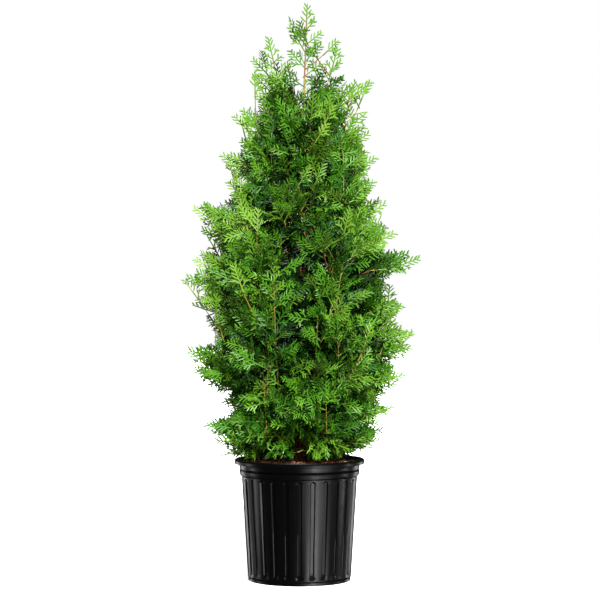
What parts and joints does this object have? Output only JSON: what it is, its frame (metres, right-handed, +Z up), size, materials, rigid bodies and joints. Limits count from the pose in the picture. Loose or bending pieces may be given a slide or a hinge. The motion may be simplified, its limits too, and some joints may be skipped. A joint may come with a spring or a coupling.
{
  "type": "potted green giant arborvitae",
  "caption": "Young conical evergreen with flat ferny sprays on rising boughs, full from the mulch up, in a round ribbed black nursery pot with a rolled lip.",
  "frame": {"origin": "middle of the pot's flat underside, on the surface that it stands on", "axes": "+Z up along the trunk, -Y towards the viewer of the picture, +X to that viewer's right"},
  "size_m": [0.5127, 0.4745, 1.219],
  "materials": {
    "pot": "satin black moulded polyethylene",
    "mulch": "rough reddish bark mulch",
    "trunk_bark": "thin stringy tan bark",
    "bough_bark": "smooth young tan bark",
    "foliage": "bright green scale leaves with a soft sheen"
  },
  "bodies": {
    "root": {"bough_lower_1": "bough_bark", "bough_lower_2": "bough_bark", "bough_lower_3": "bough_bark", "bough_lower_4": "bough_bark", "bough_lower_5": "bough_bark", "bough_lower_6": "bough_bark", "bough_lowest_1": "bough_bark", "bough_lowest_2": "bough_bark", "bough_lowest_3": "bough_bark", "bough_lowest_4": "bough_bark", "bough_lowest_5": "bough_bark", "bough_lowest_6": "bough_bark", "bough_middle_1": "bough_bark", "bough_middle_2": "bough_bark", "bough_middle_3": "bough_bark", "bough_middle_4": "bough_bark", "bough_middle_5": "bough_bark", "bough_middle_6": "bough_bark", "bough_upper_1": "bough_bark", "bough_upper_2": "bough_bark", "bough_upper_3": "bough_bark", "bough_upper_4": "bough_bark", "bough_upper_5": "bough_bark", "foliage_high_1": "foliage", "foliage_high_2": "foliage", "foliage_high_3": "foliage", "foliage_high_4": "foliage", "foliage_leader": "foliage", "foliage_lower_1": "foliage", "foliage_lower_2": "foliage", "foliage_lower_3": "foliage", "foliage_lower_4": "foliage", "foliage_lower_5": "foliage", "foliage_lower_6": "foliage", "foliage_lowest_1": "foliage", "foliage_lowest_2": "foliage", "foliage_lowest_3": "foliage", "foliage_lowest_4": "foliage", "foliage_lowest_5": "foliage", "foliage_lowest_6": "foliage", "foliage_middle_1": "foliage", "foliage_middle_2": "foliage", "foliage_middle_3": "foliage", "foliage_middle_4": "foliage", "foliage_middle_5": "foliage", "foliage_middle_6": "foliage", "foliage_shoulder_1": "foliage", "foliage_shoulder_2": "foliage", "foliage_shoulder_3": "foliage", "foliage_shoulder_4": "foliage", "foliage_top_1": "foliage", "foliage_top_2": "foliage", "foliage_upper_1": "foliage", "foliage_upper_2": "foliage", "foliage_upper_3": "foliage", "foliage_upper_4": "foliage", "foliage_upper_5": "foliage", "pot": "pot", "soil": "mulch", "trunk": "trunk_bark"}
  },
  "joints": []
}
